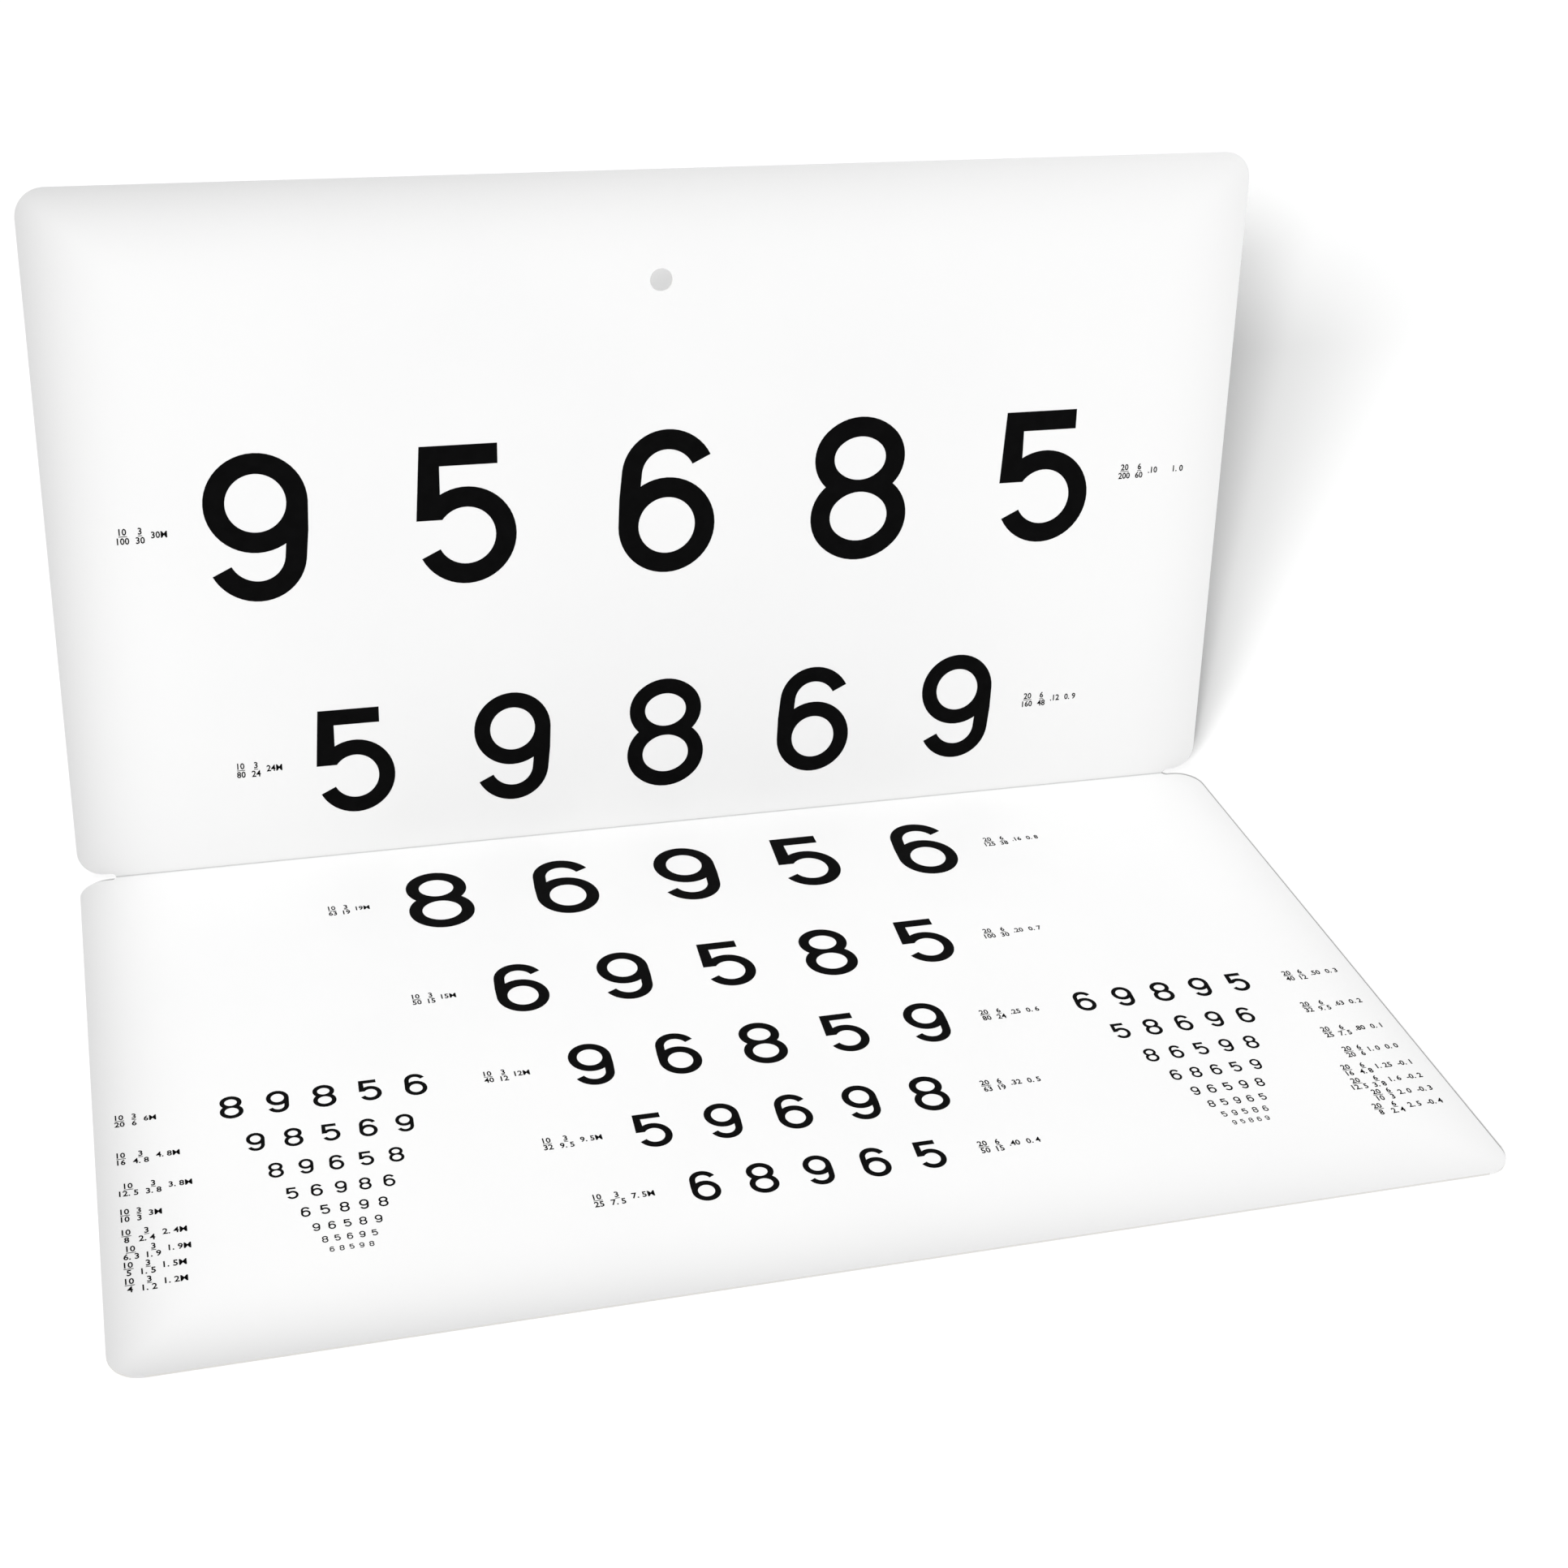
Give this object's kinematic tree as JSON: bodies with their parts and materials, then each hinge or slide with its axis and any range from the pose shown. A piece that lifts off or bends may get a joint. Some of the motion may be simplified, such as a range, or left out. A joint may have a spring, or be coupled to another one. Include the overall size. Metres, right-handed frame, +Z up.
{
  "type": "visual acuity chart",
  "caption": "Folding tabletop distance vision chart: a scored white plastic sheet, half flat and half upright, printed with rows of shrinking numerals.",
  "frame": {"origin": "middle of the lower panel's underside, on the surface that the chart stands on", "axes": "+X along the width to the reader's right, +Y towards the upright panel, +Z up"},
  "size_m": [0.46, 0.2974, 0.2581],
  "materials": {
    "white_sheet": "satin",
    "black_ink": "matte"
  },
  "bodies": {
    "root": {"chart_sheet": "white_sheet", "upper_digits": "black_ink", "lower_digits": "black_ink"}
  },
  "joints": []
}
